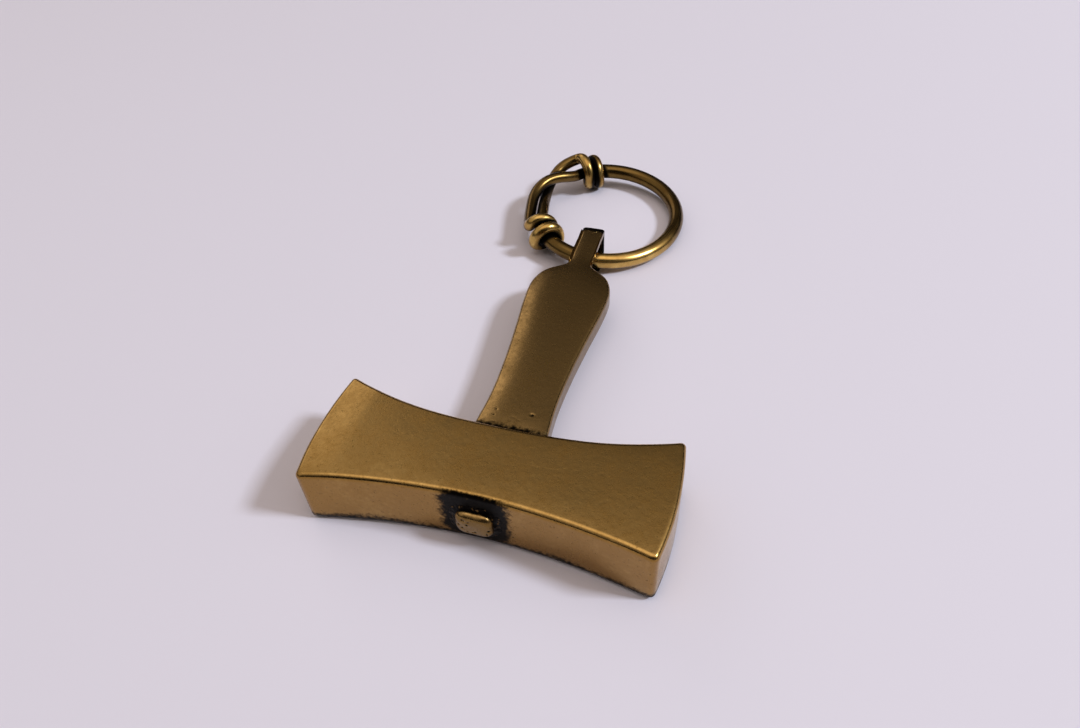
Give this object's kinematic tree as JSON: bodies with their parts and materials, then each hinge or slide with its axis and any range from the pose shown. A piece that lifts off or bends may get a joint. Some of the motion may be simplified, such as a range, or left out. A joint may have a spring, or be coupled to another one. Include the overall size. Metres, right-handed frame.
{
  "type": "keychain pendant",
  "caption": "Hammer-shaped brass keychain pendant: a waisted head on a paddle haft, with a slotted bail and a hand-twisted wire ring that swings",
  "frame": {"origin": "middle of the head's flat back face, which is the face the pendant lies on", "axes": "+Z out of the back face towards the front face, X along the head, +Y from the head along the haft to the ring"},
  "size_m": [0.0452, 0.0834, 0.0092],
  "materials": {
    "cast_brass": "satin cast brass, browned, with fine casting pits",
    "haft_brass": "satin brass with a dark brown patina, brighter along its edges",
    "braze": "rough braze, blackened by heat",
    "ring_brass": "drawn brass wire, polished by handling, dark between the turns"
  },
  "bodies": {
    "pendant": {"head": "cast_brass", "haft": "haft_brass", "front_braze": "braze", "rear_braze": "braze"},
    "ring": {"ring_wire": "ring_brass"}
  },
  "joints": [
    {"name": "ring_swing", "type": "hinge", "parent": "pendant", "child": "ring", "pos_m": [0, 0.0474, 0.0024], "axis": [1, 0, 0], "range_deg": [-150, 140]}
  ]
}
